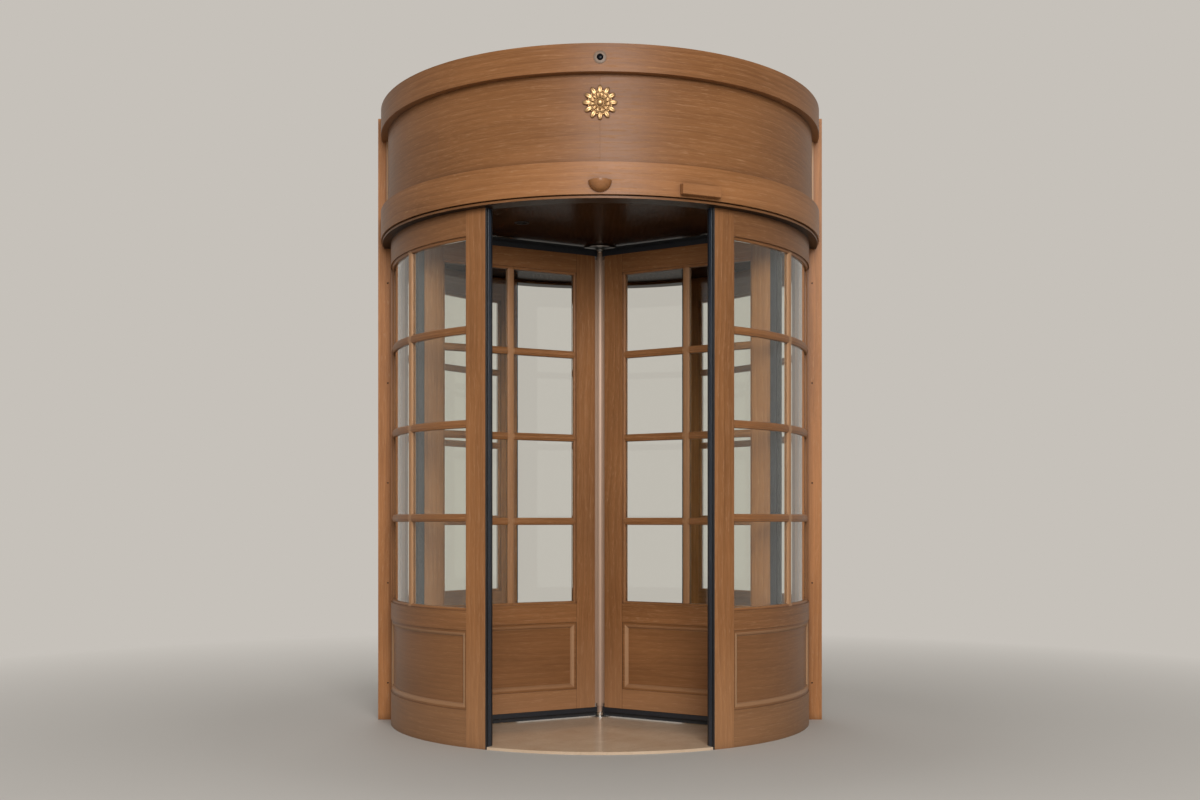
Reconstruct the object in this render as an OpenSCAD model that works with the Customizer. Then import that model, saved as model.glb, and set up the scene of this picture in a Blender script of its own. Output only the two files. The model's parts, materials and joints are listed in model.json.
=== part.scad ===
// Three-wing revolving door in a timber drum, cut off at the wall by a narrow post on each side.
// Origin on the drum's axis at ground level, +Z up. The street side faces -Y.

/* [Drum] */
// Outer radius of the curved side walls
drum_r = 1285; // [1150:5:1500]
// Thickness of the curved side walls
wall_t = 60; // [54:2:80]
// Angle from the centre of a mouth to the timber end of a curved wall
mouth_half_angle = 28.6; // [24:0.1:30]
// Width of the stile beside the mouth
front_stile_w = 126; // [90:1:160]
// Width of the stile beside the wall post
wall_stile_w = 94; // [80:2:200]
// Height from the floor to the underside of the soffit ring
clear_h = 2892; // [2500:2:3100]
// Height of the top rail of a curved wall
top_rail_h = 140; // [100:5:220]
// Height from the floor to the lowest glass of a curved wall
sill_h = 724; // [600:2:850]
// Height of the rail under the glass of a curved wall
lock_rail_h = 105; // [80:5:140]
// Height of the bottom rail of a curved wall
base_rail_h = 186; // [120:2:220]

/* [Glazing bars] */
// Width of the bars that part the panes
bar_w = 44; // [30:1:56]
// Depth of the bars from face to face
bar_depth = 44; // [36:1:50]
// Width of the flat face along the middle of a bar
bar_face_w = 16; // [10:1:24]
// Depth from face to face of a bar beside the glass
bar_edge_depth = 22; // [16:1:28]
// Depth of the small step beside a bar's flat face
bar_step = 2; // [1:0.5:4]
// Width of the bead round a window on the stiles and rails
bead_w = 16; // [12:1:20]
// Width of that bead's flat face
bead_face_w = 4; // [2:1:8]
// Rows of panes
pane_rows = 4; // [3:1:5]
// Gap between the pieces of a curved wall, and round the bars, beads and panels set in it
frame_gap = 0.1; // [0.05:0.05:0.5]
// Thickness of the glass
glass_t = 10; // [8:1:12]

/* [Lower panels] */
// Thickness of the recessed panels
panel_t = 22; // [16:1:28]
// Width of the flat part of the panel moulding beside the frame
mould_flat_w = 8; // [4:1:14]
// Width of the rounded part of the panel moulding
mould_round_w = 26; // [16:1:32]
// How far the moulding lies behind the face of the frame
mould_drop = 4; // [2:0.5:8]

/* [Edge strips] */
// Thickness of the black strip on the end of a curved wall, along the arc
strip_t = 10; // [8:1:30]
// Width of the bright cover on the strip's end
strip_cover_w = 26; // [16:1:34]
// Depth of the groove each side of the bright cover
strip_groove = 3; // [2:1:6]

/* [Wings] */
// Angle that the wings stand turned from the symmetric position
rest_turn = -1.9; // [-8:0.1:8]
// Thickness of a wing
wing_t = 55; // [45:1:65]
// Running gap between the brushes and what they pass
brush_gap = 8; // [5:1:15]
// Width of the stile at the centre post
inner_stile_w = 128; // [90:1:150]
// Width of the stile at the outer edge
outer_stile_w = 113; // [80:1:150]
// Width of the black profile on the outer edge
edge_profile_w = 35; // [20:1:60]
// Height of the brush beyond the outer edge's profile
edge_brush_w = 20; // [12:1:40]
// Height of the black profile along the top and bottom edges
rail_profile_h = 30; // [20:1:40]
// Thickness of the brushes
brush_t = 14; // [8:1:20]
// Distance past the ceiling's round cover at which the top brush steps up
brush_inset = 10; // [5:1:30]
// Thickness of the black profile
profile_t = 47; // [36:1:56]
// Height from the floor to the timber's bottom edge
wing_bottom_h = 61; // [45:1:80]
// Height of the wing's bottom rail
wing_base_rail_h = 118; // [70:1:140]
// Height from the floor to the lowest glass of a wing
wing_sill_h = 704; // [600:2:850]
// Height of the wing's rail under the glass
wing_lock_rail_h = 113; // [80:1:140]
// Height of the wing's top rail
wing_top_rail_h = 112; // [90:1:160]
// Distance from the ceiling to the timber's top edge
wing_top_drop = 61; // [55:1:90]

/* [Centre post] */
// Radius of the centre post
post_r = 28; // [24:1:32]
// Distance from the axis to the wings' timber
wing_start = 50; // [45:1:60]
// Distance from the axis to the black profiles and brushes along the top and bottom edges
seal_start = 33; // [33:1:40]
// Width of the fins that carry the wings
fin_w = 24; // [16:1:30]
// Radius of the shaft above and below the wings
shaft_r = 22; // [16:0.5:24]
// Radius of the pin that turns in the floor bearing
pin_r = 15; // [10:0.5:15]
// Radial running clearance of the pin and the shaft
running_gap = 0.05; // [0.02:0.01:0.1]
// Radius of the round cover round the shaft at the ceiling
rose_r = 102; // [80:1:150]
// Thickness of that cover
rose_t = 8; // [5:1:12]
// Radius of the floor bearing's plate
bearing_r = 60; // [40:1:90]
// How far the floor bearing's plate stands above the floor
bearing_rise = 2; // [1:0.5:4]
// Thickness of the metal left under the pin in the floor bearing
bearing_floor = 3; // [2:0.5:5]
// Radial gap between the shaft and the ceiling board
shaft_gap = 5; // [3:1:10]
// Distance from the wings' ends to the ends of the fins
fin_inset = 20; // [10:1:60]
// Vertical gap between the centre post's foot and the floor bearing's plate
foot_gap = 0.3; // [0.2:0.1:0.8]

/* [Canopy] */
// How far the canopy's bands stand out beyond the drum
canopy_out = 59; // [50:1:120]
// Height of the bottom band
low_band_h = 170; // [100:2:220]
// Height of the frieze between the bands
frieze_h = 468; // [300:2:600]
// Height of the top band
top_band_h = 147; // [100:1:220]
// Thickness of the bands
band_t = 60; // [56:1:76]
// Thickness of the frieze boards
frieze_t = 18; // [12:1:24]
// Boards of the frieze on each half of the canopy
frieze_boards = 4; // [2:1:6]
// Gap between two boards of the frieze
board_gap = 0.3; // [0.2:0.1:1]
// How far the frieze lies behind the bands
frieze_recess = 43; // [20:1:46]
// Thickness of the soffit ring's lower board
soffit_t = 12; // [8:1:20]
// Height of the shadow gap between the soffit ring and the bottom band
shadow_h = 6; // [4:1:12]
// How far the soffit ring lies behind the bands
soffit_recess = 10; // [6:1:20]
// Depth of the shadow gap
shadow_depth = 16; // [10:1:24]
// Thickness of the ceiling board
ceiling_t = 18; // [12:1:30]
// Thickness of the roof board
roof_t = 22; // [12:1:30]
// Depth of the roof board below the canopy's top edge
roof_drop = 25; // [15:1:60]
// Width of the ledge that carries the roof board
ledge_w = 30; // [20:1:50]
// Thickness of that ledge
ledge_t = 22; // [15:1:30]
// Width of the strip at each end of the frieze
end_strip_w = 18; // [12:1:30]
// How far that strip stands out from the frieze
end_strip_out = 17; // [4:1:20]

/* [Wall posts and floor] */
// How far a wall post stands out beyond the canopy's side
post_out = 26; // [10:1:60]
// Depth of a wall post
post_d = 120; // [90:2:160]
// Radius of the screw holes in the posts
screw_r = 5; // [4:0.5:8]
// Distance from the post's outer face to the screw holes
screw_inset = 60; // [30:1:70]
// Height from the floor to the lowest screw hole
screw_h = 212; // [150:1:300]
// Distance from one screw hole to the next
screw_pitch = 617; // [500:1:640]
// Thickness of the floor disc
floor_t = 15; // [12:1:40]

/* [Sensors and fittings] */
// Radius of the half-bowl sensor cover
dome_r = 61; // [50:1:80]
// Height of that cover
dome_h = 58; // [40:1:80]
// How far that cover stands out from the band
dome_out = 62; // [40:1:80]
// Height of its lowest point above the bottom band's lower edge
dome_rise = 10; // [4:1:60]
// Width of the sensor bar
bar_sensor_w = 225; // [180:1:280]
// Height of the sensor bar
bar_sensor_h = 54; // [35:1:60]
// How far the sensor bar stands out
bar_sensor_d = 34; // [24:1:50]
// Height of the sensor bar above the bottom band's lower edge
bar_sensor_rise = 12; // [8:1:40]
// Angle from the canopy's centre line to the middle of the sensor bar
bar_sensor_angle = 23; // [18:0.5:30]
// Radius of the round lens in the top band
lens_r = 34; // [24:1:40]
// How far the lens stands out from the band
lens_out = 7; // [4:1:12]
// How far the ring round the lens stands out from the band
lens_ring_out = 4; // [2:1:6]
// Radius of the rosette on the frieze
rosette_r = 92; // [70:1:110]
// Thickness of the rosette's plate
rosette_t = 10; // [6:1:14]
// Radius of the rosette's plate
rosette_plate_r = 64; // [60:1:72]
// Radius of the rosette's boss where it meets the plate
boss_r = 31; // [24:1:40]
// Radius of the boss at its front
boss_top_r = 18; // [10:1:22]
// Height of the boss
boss_h = 10; // [6:1:14]
// Radius of a petal
petal_r = 20; // [16:1:24]
// How far the petals stand out from the plate
petal_rise = 3; // [1:0.5:5]
// Distance from the rosette's centre up to the top band
rosette_drop = 150; // [112:2:340]
// Petals of the rosette
petals = 12; // [8:1:16]
// Radius of the downlights in the ceiling
downlight_r = 42; // [36:1:80]
// Distance from the axis to the downlights
downlight_at = 818; // [450:1:900]
// Angle from the middle of a mouth to its downlight
downlight_angle = 33; // [0:1:60]
// Width of the downlights' trim
trim_w = 5; // [4:1:12]
// How far the downlights' trim stands out below the ceiling
trim_t = 2; // [1.5:0.5:3]

/* [Hidden] */
$fn = 180;
fine_fn = 256;
drum_ri = drum_r - wall_t;
drum_mid = drum_r - wall_t / 2;
full_turn = 360;
cut = 5;
seat_gap = 0.3;
round_steps = 4;
bend_ease = 1;
sink = 2;
pane_columns = 2;

floor_z = floor_t;
soffit_z = floor_z + clear_h;
low_band_z = soffit_z + soffit_t + shadow_h;
frieze_z = low_band_z + low_band_h;
top_band_z = frieze_z + frieze_h;
canopy_top = top_band_z + top_band_h;
ceiling_z = low_band_z;
rosette_z = top_band_z - rosette_drop;
canopy_r = drum_r + canopy_out;
canopy_ri = canopy_r - band_t;

function arc_deg(w, r = drum_mid) = w / r * 180 / PI;

wall_end_angle = 90 - asin(post_d / 2 / drum_mid);
light_a0 = mouth_half_angle + arc_deg(front_stile_w);
light_a1 = wall_end_angle - arc_deg(wall_stile_w);
light_am = (light_a0 + light_a1) / 2;
light_z0 = floor_z + sill_h;
light_z1 = soffit_z - top_rail_h;
panel_z0 = floor_z + base_rail_h;
panel_z1 = light_z0 - lock_rail_h;
inner_a0 = light_a0 + arc_deg(frame_gap);
inner_a1 = light_a1 - arc_deg(frame_gap);
inner_z0 = light_z0 + frame_gap;
inner_z1 = light_z1 - frame_gap;

wing_reach = drum_ri - brush_gap;
wing_u1 = wing_reach - edge_brush_w - edge_profile_w;
wing_z0 = floor_z + wing_bottom_h;
wing_z1 = ceiling_z - wing_top_drop;
wing_light_u0 = wing_start + inner_stile_w;
wing_light_u1 = wing_u1 - outer_stile_w;
wing_light_z0 = floor_z + wing_sill_h;
wing_light_z1 = wing_z1 - wing_top_rail_h;
wing_panel_z0 = wing_z0 + wing_base_rail_h;
wing_panel_z1 = wing_light_z0 - wing_lock_rail_h;
wing_angles = [210, 330, 90];
wing_names = ["a", "b", "c"];

post_x0 = drum_ri;
post_x1 = canopy_r + post_out;
screw_rows = 5;

// A block bent round the axis. Angles count from the -Y direction towards +X.
module sector(r0, r1, a0, a1, z0, z1) {
    translate([0, 0, z0])
        rotate([0, 0, a0 - 90])
            rotate_extrude(angle = a1 - a0)
                translate([r0, 0])
                    square([r1 - r0, z1 - z0]);
}

// A block from corner to corner
module block(lo, hi) {
    translate(lo)
        cube(hi - lo);
}

// Repeats a shape of the front right quarter on both faces of one side
module front_and_back(side) {
    for (face = [0, 1])
        mirror([side == "left" ? 1 : 0, 0, 0])
            mirror([0, face, 0])
                children();
}

// Repeats a shape of the front right quarter in all four quarters
module four_quarters() {
    for (side = ["left", "right"])
        front_and_back(side)
            children();
}

// The room that the two wall posts take, from z0 to z1, and inwards of them as far as x0
module post_room(z0, z1, x0 = post_x0) {
    for (s = [-1, 1])
        block([s > 0 ? x0 : -post_x1 - cut, -post_d / 2, z0],
            [s > 0 ? post_x1 + cut : -x0, post_d / 2, z1]);
}

// Mouldings. A section's first value is its depth from the middle of the leaf, its second its width

// Quarter round from depth d0 at width w0 to depth d1 at width w1
function quarter_round(d0, w0, d1, w1) = [for (k = [0 : round_steps])
    [d1 + (d0 - d1) * cos(90 * k / round_steps), w0 + (w1 - w0) * sin(90 * k / round_steps)]];

function flip_depth(points) = [for (i = [len(points) - 1 : -1 : 0]) [-points[i][0], points[i][1]]];
function flip_width(points) = [for (i = [len(points) - 1 : -1 : 0]) [points[i][0], -points[i][1]]];

function bar_face(ease) = let (d = bar_depth / 2 - ease)
    concat([[d, bar_face_w / 2]], quarter_round(d - bar_step, bar_face_w / 2, bar_edge_depth / 2, bar_w / 2));
function bar_half(ease) = concat(bar_face(ease), flip_depth(bar_face(ease)));
function bar_section(ease) = concat(bar_half(ease), flip_width(bar_half(ease)));

function bead_face(ease) = let (d = bar_depth / 2 - ease)
    concat([[d, 0], [d, bead_face_w]],
        quarter_round(d - bar_step, bead_face_w, bar_edge_depth / 2, bead_w));
function bead_section(ease) = concat(bead_face(ease), flip_depth(bead_face(ease)));

function mould_face(half_t, ease) = let (d = half_t - mould_drop - ease)
    concat([[d, 0]], quarter_round(d, mould_flat_w, panel_t / 2 - sink, mould_flat_w + mould_round_w));
function mould_section(half_t, ease) = concat(mould_face(half_t, ease), flip_depth(mould_face(half_t, ease)));

// Bends a section round the curved wall at height z, from angle a0 to a1
module along_wall(z, a0, a1) {
    rotate([0, 0, a0 - 90])
        rotate_extrude(angle = a1 - a0)
            translate([drum_mid, z])
                children();
}

// Raises a section on the curved wall at angle a, from z0 to z1
module up_wall(a, z0, z1) {
    rotate([0, 0, a - 90])
        translate([drum_mid, 0, z0])
            linear_extrude(z1 - z0)
                children();
}

// Curved wall

// Low and high edge of pane number i out of n between lo and hi, with bars between the panes
function pane_lo(lo, hi, n, i) = lo + i * (hi - lo + bar_w) / n;
function pane_hi(lo, hi, n, i) = lo + (i + 1) * (hi - lo + bar_w) / n - bar_w;

// Middle of the bar under pane row number i
function bar_mid(lo, hi, i) = pane_lo(lo, hi, pane_rows, i) - bar_w / 2;

module wall_end_stiles() {
    color([0.60, 0.43, 0.28])
        four_quarters()
            sector(drum_ri, drum_r, mouth_half_angle, light_a0, 0, soffit_z);
}

module wall_post_stiles() {
    color([0.60, 0.43, 0.28])
        four_quarters()
            difference() {
                sector(drum_ri, drum_r, light_a1, 90, 0, soffit_z);
                block([drum_ri / 2, -post_d / 2, -cut], [drum_r + cut, post_d, soffit_z + cut]);
            }
}

module wall_rails(z0, z1) {
    color([0.60, 0.43, 0.28])
        four_quarters()
            sector(drum_ri, drum_r, inner_a0, inner_a1, z0, z1);
}

module glazing_bars(side) {
    color([0.62, 0.45, 0.30])
        front_and_back(side) {
            for (i = [1 : pane_rows - 1])
                along_wall(bar_mid(inner_z0 + bead_w, inner_z1 - bead_w, i), inner_a0, inner_a1)
                    polygon(bar_section(0));
            up_wall(light_am, inner_z0, inner_z1)
                polygon(bar_section(bend_ease));
            along_wall(inner_z0, inner_a0, inner_a1)
                polygon(bead_section(0));
            along_wall(inner_z1, inner_a0, inner_a1)
                polygon(flip_width(bead_section(0)));
            up_wall(inner_a0, inner_z0, inner_z1)
                polygon(bead_section(bend_ease));
            up_wall(inner_a1, inner_z0, inner_z1)
                polygon(flip_width(bead_section(bend_ease)));
        }
}

// One pane of curved glass, cut along straight lines beside the upright bars
module wall_pane(z0, z1, j) {
    r0 = drum_mid - glass_t / 2;
    r1 = drum_mid + glass_t / 2;
    a0 = j == 0 ? inner_a0 : light_am;
    a1 = j == 0 ? light_am : inner_a1;
    w0 = j == 0 ? bead_w : bar_w / 2;
    w1 = j == 0 ? bar_w / 2 : bead_w;
    difference() {
        sector(r0, r1, a0, a1, z0, z1);
        rotate([0, 0, a0 - 90])
            block([r0 - cut, -bar_w, z0 - cut], [r1 + cut, w0, z1 + cut]);
        rotate([0, 0, a1 - 90])
            block([r0 - cut, -w1, z0 - cut], [r1 + cut, bar_w, z1 + cut]);
    }
}

module wall_glass(side) {
    za = inner_z0 + bead_w;
    zb = inner_z1 - bead_w;
    color([0.75, 0.80, 0.80, 0.35])
        front_and_back(side)
            for (i = [0 : pane_rows - 1], j = [0 : 1])
                wall_pane(pane_lo(za, zb, pane_rows, i), pane_hi(za, zb, pane_rows, i), j);
}

module wall_panels(side) {
    z0 = panel_z0 + frame_gap;
    z1 = panel_z1 - frame_gap;
    color([0.58, 0.41, 0.26])
        front_and_back(side) {
            sector(drum_mid - panel_t / 2, drum_mid + panel_t / 2, inner_a0, inner_a1, z0, z1);
            along_wall(z0, inner_a0, inner_a1)
                polygon(mould_section(wall_t / 2, 0));
            along_wall(z1, inner_a0, inner_a1)
                polygon(flip_width(mould_section(wall_t / 2, 0)));
            up_wall(inner_a0, z0, z1)
                polygon(mould_section(wall_t / 2, bend_ease));
            up_wall(inner_a1, z0, z1)
                polygon(flip_width(mould_section(wall_t / 2, bend_ease)));
        }
}

// The black strip that closes the end of a curved wall at the mouth
module edge_strips(side) {
    a0 = mouth_half_angle - arc_deg(strip_t);
    a1 = mouth_half_angle - arc_deg(frame_gap);
    groove = arc_deg(strip_groove);
    color([0.07, 0.08, 0.09])
        front_and_back(side)
            difference() {
                sector(drum_ri, drum_r, a0, a1, 0, soffit_z);
                sector(drum_ri - cut, drum_mid - strip_cover_w / 2, a0 - groove, a0 + groove,
                    -cut, soffit_z + cut);
                sector(drum_mid + strip_cover_w / 2, drum_r + cut, a0 - groove, a0 + groove,
                    -cut, soffit_z + cut);
            }
}

// Wall posts and floor

module wall_post(side) {
    color([0.60, 0.43, 0.28])
        mirror([side == "left" ? 1 : 0, 0, 0])
            difference() {
                block([post_x0, -post_d / 2, 0], [post_x1, post_d / 2, canopy_top]);
                for (i = [0 : screw_rows - 1])
                    translate([post_x1 - screw_inset, -post_d / 2 - cut, floor_z + screw_h + i * screw_pitch])
                        rotate([-90, 0, 0])
                            cylinder(r = screw_r, h = post_d + 2 * cut);
            }
}

module floor_disc() {
    lobe = mouth_half_angle - arc_deg(strip_t + frame_gap);
    color([0.80, 0.72, 0.60])
        difference() {
            cylinder(r = drum_r, h = floor_t);
            for (a = [0, 180])
                sector(drum_ri - seat_gap, drum_r + cut, a + lobe, a + 180 - lobe, -cut, floor_t + cut);
            translate([0, 0, -cut])
                cylinder(r = bearing_r + seat_gap, h = floor_t + 2 * cut);
        }
}

module floor_bearing() {
    color([0.72, 0.72, 0.73])
        difference() {
            cylinder(r = bearing_r, h = floor_t + bearing_rise);
            translate([0, 0, bearing_floor])
                cylinder(r = pin_r + running_gap, h = floor_t + cut);
        }
}

// Canopy

// A half ring between the wall posts, on the street side or the inside, turned from a section in
// radius and height
module half_ring(section, face) {
    difference() {
        rotate([0, 0, face == "front" ? 180 : 0])
            rotate_extrude(angle = 180)
                polygon(section);
        post_room(-cut, canopy_top + cut, drum_ri / 2);
    }
}

module soffit_ring() {
    r1 = canopy_r - soffit_recess;
    section = [[drum_ri, soffit_z], [r1, soffit_z], [r1, soffit_z + soffit_t],
        [r1 - shadow_depth, soffit_z + soffit_t], [r1 - shadow_depth, low_band_z], [drum_ri, low_band_z]];
    color([0.45, 0.32, 0.22])
        for (face = ["front", "back"])
            half_ring(section, face);
}

module low_band(face) {
    color([0.62, 0.45, 0.30])
        half_ring([[canopy_ri, low_band_z], [canopy_r, low_band_z],
            [canopy_r, frieze_z], [canopy_ri, frieze_z]], face);
}

module frieze(face) {
    r1 = canopy_r - frieze_recess;
    strip_a = 90 - asin(post_d / 2 / r1) - arc_deg(end_strip_w, r1);
    board_a = 2 * strip_a / frieze_boards;
    gap_a = arc_deg(board_gap, r1);
    turn = face == "front" ? 0 : 180;
    color([0.55, 0.40, 0.27]) {
        for (i = [0 : frieze_boards - 1])
            sector(r1 - frieze_t, r1, turn - strip_a + i * board_a + gap_a,
                turn - strip_a + (i + 1) * board_a, frieze_z, top_band_z);
        difference() {
            for (s = [-1, 1])
                sector(r1 - frieze_t, r1 + end_strip_out, turn + (s > 0 ? strip_a + gap_a : -90),
                    turn + (s > 0 ? 90 : -strip_a), frieze_z, top_band_z);
            post_room(frieze_z - cut, top_band_z + cut);
        }
    }
}

module top_band(face) {
    roof_z = canopy_top - roof_drop - roof_t;
    ledge_r = canopy_ri - ledge_w;
    color([0.62, 0.45, 0.30])
        half_ring([[canopy_ri, top_band_z], [canopy_r, top_band_z], [canopy_r, canopy_top],
            [canopy_ri, canopy_top], [canopy_ri, roof_z], [ledge_r, roof_z], [ledge_r, roof_z - ledge_t],
            [canopy_ri, roof_z - ledge_t]], face);
}

module canopy_roof() {
    roof_z = canopy_top - roof_drop - roof_t;
    color([0.50, 0.37, 0.25])
        difference() {
            translate([0, 0, roof_z])
                cylinder(r = canopy_ri - seat_gap, h = roof_t);
            post_room(roof_z - cut, canopy_top);
        }
}

module ceiling_disc() {
    color([0.16, 0.10, 0.07])
        difference() {
            translate([0, 0, ceiling_z])
                cylinder(r = canopy_ri - seat_gap, h = ceiling_t);
            post_room(ceiling_z - cut, ceiling_z + ceiling_t + cut);
            translate([0, 0, ceiling_z - cut])
                cylinder(r = shaft_r + shaft_gap, h = ceiling_t + 2 * cut);
            for (a = [0, 180])
                rotate([0, 0, a - downlight_angle])
                    translate([0, -downlight_at, ceiling_z - cut])
                        cylinder(r = downlight_r - trim_w, h = ceiling_t + 2 * cut);
        }
}

module ceiling_rose() {
    color([0.55, 0.53, 0.50])
        difference() {
            translate([0, 0, ceiling_z - rose_t])
                cylinder(r = rose_r, h = rose_t);
            translate([0, 0, ceiling_z - rose_t - cut])
                cylinder(r = shaft_r + running_gap, h = rose_t + 2 * cut);
        }
}

module downlights() {
    color([0.10, 0.09, 0.09])
        for (a = [0, 180])
            rotate([0, 0, a - downlight_angle])
                translate([0, -downlight_at, 0]) {
                    translate([0, 0, ceiling_z - trim_t])
                        cylinder(r = downlight_r, h = trim_t);
                    translate([0, 0, ceiling_z - trim_t])
                        cylinder(r = downlight_r - trim_w - seat_gap, h = trim_t + ceiling_t);
                }
}

// Sensors and fittings

module sensor_domes() {
    color([0.50, 0.35, 0.23])
        for (a = [0, 180])
            rotate([0, 0, a])
                translate([0, -canopy_r - seat_gap, low_band_z + dome_rise + dome_h])
                    difference() {
                        scale([1, dome_out / dome_r, dome_h / dome_r])
                            sphere(r = dome_r);
                        block([-dome_r - cut, -dome_r - cut, 0], [dome_r + cut, dome_r + cut, dome_r * 2]);
                        block([-dome_r - cut, 0, -dome_r * 2], [dome_r + cut, dome_r + cut, cut]);
                    }
}

module sensor_bars() {
    color([0.52, 0.37, 0.24])
        for (a = [0, 180])
            rotate([0, 0, a + bar_sensor_angle])
                difference() {
                    block([-bar_sensor_w / 2, -canopy_r - bar_sensor_d, low_band_z + bar_sensor_rise],
                        [bar_sensor_w / 2, -canopy_ri, low_band_z + bar_sensor_rise + bar_sensor_h]);
                    translate([0, 0, low_band_z])
                        cylinder(r = canopy_r + seat_gap, h = low_band_h);
                }
}

module lens() {
    color([0.25, 0.25, 0.26])
        translate([0, -canopy_r - seat_gap, top_band_z + top_band_h / 2])
            rotate([90, 0, 0]) {
                cylinder(r = lens_r, h = lens_ring_out);
                cylinder(r = lens_r / 2, h = lens_out);
            }
}

module rosette() {
    r1 = canopy_r - frieze_recess;
    color([0.80, 0.62, 0.30])
        difference() {
            translate([0, -r1 + cut, rosette_z])
                rotate([90, 0, 0]) {
                    cylinder(r = rosette_plate_r, h = rosette_t + cut);
                    translate([0, 0, rosette_t + cut])
                        cylinder(r1 = boss_r, r2 = boss_top_r, h = boss_h);
                    for (i = [0 : petals - 1])
                        rotate([0, 0, i * full_turn / petals])
                            translate([rosette_r - petal_r, 0, 0])
                                cylinder(r = petal_r, h = rosette_t + petal_rise + cut);
                }
            translate([0, 0, frieze_z])
                cylinder(r = r1 + seat_gap, h = frieze_h, $fn = fine_fn);
        }
}

// Rotor

module centre_post() {
    foot_z = floor_z + bearing_rise + foot_gap;
    pin_z = bearing_floor + foot_gap;
    top_z = ceiling_z + ceiling_t;
    color([0.74, 0.70, 0.68]) {
        rotate_extrude()
            polygon([[0, pin_z], [pin_r, pin_z], [pin_r, foot_z], [shaft_r, foot_z], [shaft_r, wing_z0],
                [post_r, wing_z0], [post_r, wing_z1], [shaft_r, wing_z1], [shaft_r, top_z], [0, top_z]]);
        for (i = [0 : len(wing_angles) - 1])
            at_wing(i)
                block([post_r / 2, -fin_w / 2, wing_z0 + fin_inset],
                    [wing_start, fin_w / 2, wing_z1 - fin_inset]);
    }
}

// Puts a shape drawn along +X at wing number i
module at_wing(i) {
    rotate([0, 0, wing_angles[i] + rest_turn])
        children();
}

// Lays a section along a wing at height z, from u0 to u1
module along_wing(z, u0, u1) {
    translate([u0, 0, z])
        rotate([90, 0, 90])
            linear_extrude(u1 - u0)
                children();
}

// Raises a section on a wing at distance u from the axis, from z0 to z1
module up_wing(u, z0, z1) {
    translate([u, 0, z0])
        rotate([0, 0, -90])
            linear_extrude(z1 - z0)
                children();
}

module wing_frame(i) {
    color([0.60, 0.43, 0.28])
        at_wing(i) {
            difference() {
                block([wing_start, -wing_t / 2, wing_z0], [wing_u1, wing_t / 2, wing_z1]);
                block([wing_light_u0, -wing_t, wing_light_z0], [wing_light_u1, wing_t, wing_light_z1]);
                block([wing_light_u0, -wing_t, wing_panel_z0], [wing_light_u1, wing_t, wing_panel_z1]);
            }
            for (k = [1 : pane_rows - 1])
                along_wing(bar_mid(wing_light_z0 + bead_w, wing_light_z1 - bead_w, k),
                    wing_light_u0 - sink, wing_light_u1 + sink)
                    polygon(bar_section(0));
            up_wing((wing_light_u0 + wing_light_u1) / 2, wing_light_z0 - sink, wing_light_z1 + sink)
                polygon(bar_section(0));
            along_wing(wing_light_z0, wing_light_u0, wing_light_u1)
                polygon(bead_section(0));
            along_wing(wing_light_z1, wing_light_u0, wing_light_u1)
                polygon(flip_width(bead_section(0)));
            up_wing(wing_light_u0, wing_light_z0, wing_light_z1)
                polygon(bead_section(0));
            up_wing(wing_light_u1, wing_light_z0, wing_light_z1)
                polygon(flip_width(bead_section(0)));
        }
}

module wing_glass(i) {
    ua = wing_light_u0 + bead_w;
    ub = wing_light_u1 - bead_w;
    za = wing_light_z0 + bead_w;
    zb = wing_light_z1 - bead_w;
    color([0.75, 0.80, 0.80, 0.35])
        at_wing(i)
            for (k = [0 : pane_rows - 1], j = [0 : pane_columns - 1])
                block([pane_lo(ua, ub, pane_columns, j), -glass_t / 2, pane_lo(za, zb, pane_rows, k)],
                    [pane_hi(ua, ub, pane_columns, j), glass_t / 2, pane_hi(za, zb, pane_rows, k)]);
}

module wing_panel(i) {
    section = mould_section(wing_t / 2, 0);
    color([0.58, 0.41, 0.26])
        at_wing(i) {
            block([wing_light_u0, -panel_t / 2, wing_panel_z0], [wing_light_u1, panel_t / 2, wing_panel_z1]);
            along_wing(wing_panel_z0, wing_light_u0, wing_light_u1)
                polygon(section);
            along_wing(wing_panel_z1, wing_light_u0, wing_light_u1)
                polygon(flip_width(section));
            up_wing(wing_light_u0, wing_panel_z0, wing_panel_z1)
                polygon(section);
            up_wing(wing_light_u1, wing_panel_z0, wing_panel_z1)
                polygon(flip_width(section));
        }
}

// The black profile and brush along the top, outer and bottom edges of a wing
module wing_seal(i) {
    u1 = wing_u1 + edge_profile_w;
    z0 = wing_z0 - rail_profile_h;
    z1 = wing_z1 + rail_profile_h;
    brush_z0 = floor_z + brush_gap;
    brush_z1 = ceiling_z - brush_gap;
    step_u = rose_r + brush_inset;
    p = profile_t / 2;
    b = brush_t / 2;
    color([0.05, 0.05, 0.06])
        at_wing(i) {
            block([seal_start, -p, z0], [u1, p, wing_z0]);
            block([seal_start, -p, wing_z1], [u1, p, z1]);
            block([wing_u1, -p, z0], [u1, p, z1]);
            block([seal_start, -b, brush_z0], [wing_reach, b, z0]);
            block([seal_start, -b, z1], [wing_reach, b, brush_z1 - rose_t]);
            block([step_u, -b, z1], [wing_reach, b, brush_z1]);
            block([u1, -b, brush_z0], [wing_reach, b, brush_z1]);
        }
}

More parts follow.
